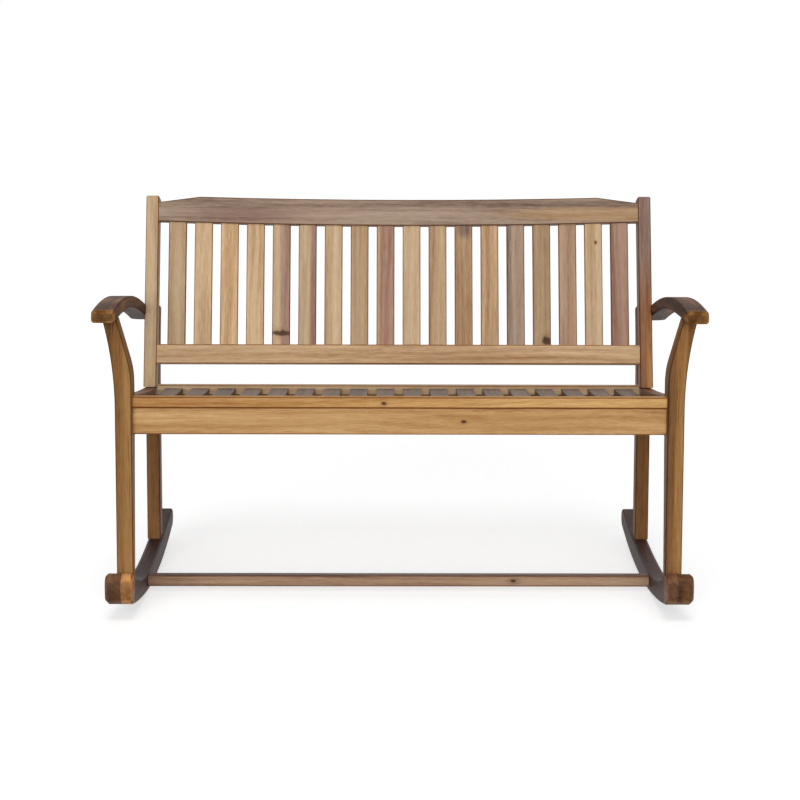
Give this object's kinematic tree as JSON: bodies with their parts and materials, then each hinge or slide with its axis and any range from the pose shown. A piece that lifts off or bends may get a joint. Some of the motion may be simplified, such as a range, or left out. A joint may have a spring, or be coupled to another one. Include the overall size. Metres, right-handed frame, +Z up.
{
  "type": "rocking bench",
  "caption": "Wooden two-seat bench with slatted seat and reclined slatted back, curved arms and flared front legs, standing on a pair of long curved rockers tied by a low stretcher.",
  "frame": {"origin": "on the floor, under the middle of the bounding box", "axes": "+X across the bench to the right as seen from the front, +Y to the rear, +Z up"},
  "size_m": [1.2796, 0.821, 0.8641],
  "materials": {
    "honey_wood": "light honey-coloured oiled hardwood with straight grain, semi-gloss",
    "tan_wood": "tan oiled hardwood, semi-gloss",
    "brown_wood": "medium brown oiled hardwood with dark figure, semi-gloss",
    "dark_wood": "dark reddish-brown oiled hardwood, semi-gloss",
    "amber_wood": "amber-brown oiled hardwood, semi-gloss",
    "zinc_steel": "zinc-plated steel"
  },
  "bodies": {
    "root": {"arm_left": "dark_wood", "arm_right": "dark_wood", "back_bottom_rail": "tan_wood", "back_slat_01": "tan_wood", "back_slat_02": "tan_wood", "back_slat_03": "tan_wood", "back_slat_04": "tan_wood", "back_slat_05": "tan_wood", "back_slat_06": "tan_wood", "back_slat_07": "tan_wood", "back_slat_08": "tan_wood", "back_slat_09": "tan_wood", "back_slat_10": "tan_wood", "back_slat_11": "tan_wood", "back_slat_12": "tan_wood", "back_slat_13": "tan_wood", "back_slat_14": "tan_wood", "back_slat_15": "tan_wood", "back_slat_16": "tan_wood", "back_slat_17": "tan_wood", "back_slat_18": "tan_wood", "back_stile_left": "tan_wood", "back_stile_right": "dark_wood", "back_top_rail": "brown_wood", "barrel_nuts": "zinc_steel", "frame_bolts": "zinc_steel", "front_apron": "honey_wood", "front_leg_left": "amber_wood", "front_leg_right": "amber_wood", "rear_apron": "honey_wood", "rear_leg_left": "brown_wood", "rear_leg_right": "brown_wood", "rocker_inner_left": "brown_wood", "rocker_inner_right": "brown_wood", "rocker_outer_left": "dark_wood", "rocker_outer_right": "dark_wood", "seat_front_rail": "honey_wood", "seat_rear_rail": "honey_wood", "seat_slat_01": "tan_wood", "seat_slat_02": "tan_wood", "seat_slat_03": "tan_wood", "seat_slat_04": "tan_wood", "seat_slat_05": "tan_wood", "seat_slat_06": "tan_wood", "seat_slat_07": "tan_wood", "seat_slat_08": "tan_wood", "seat_slat_09": "tan_wood", "seat_slat_10": "tan_wood", "seat_slat_11": "tan_wood", "seat_slat_12": "tan_wood", "seat_slat_13": "tan_wood", "seat_slat_14": "tan_wood", "seat_slat_15": "tan_wood", "seat_slat_16": "tan_wood", "seat_slat_17": "tan_wood", "seat_slat_18": "tan_wood", "side_apron_left": "tan_wood", "side_apron_right": "tan_wood", "stretcher": "tan_wood", "wood_screws": "zinc_steel"}
  },
  "joints": []
}
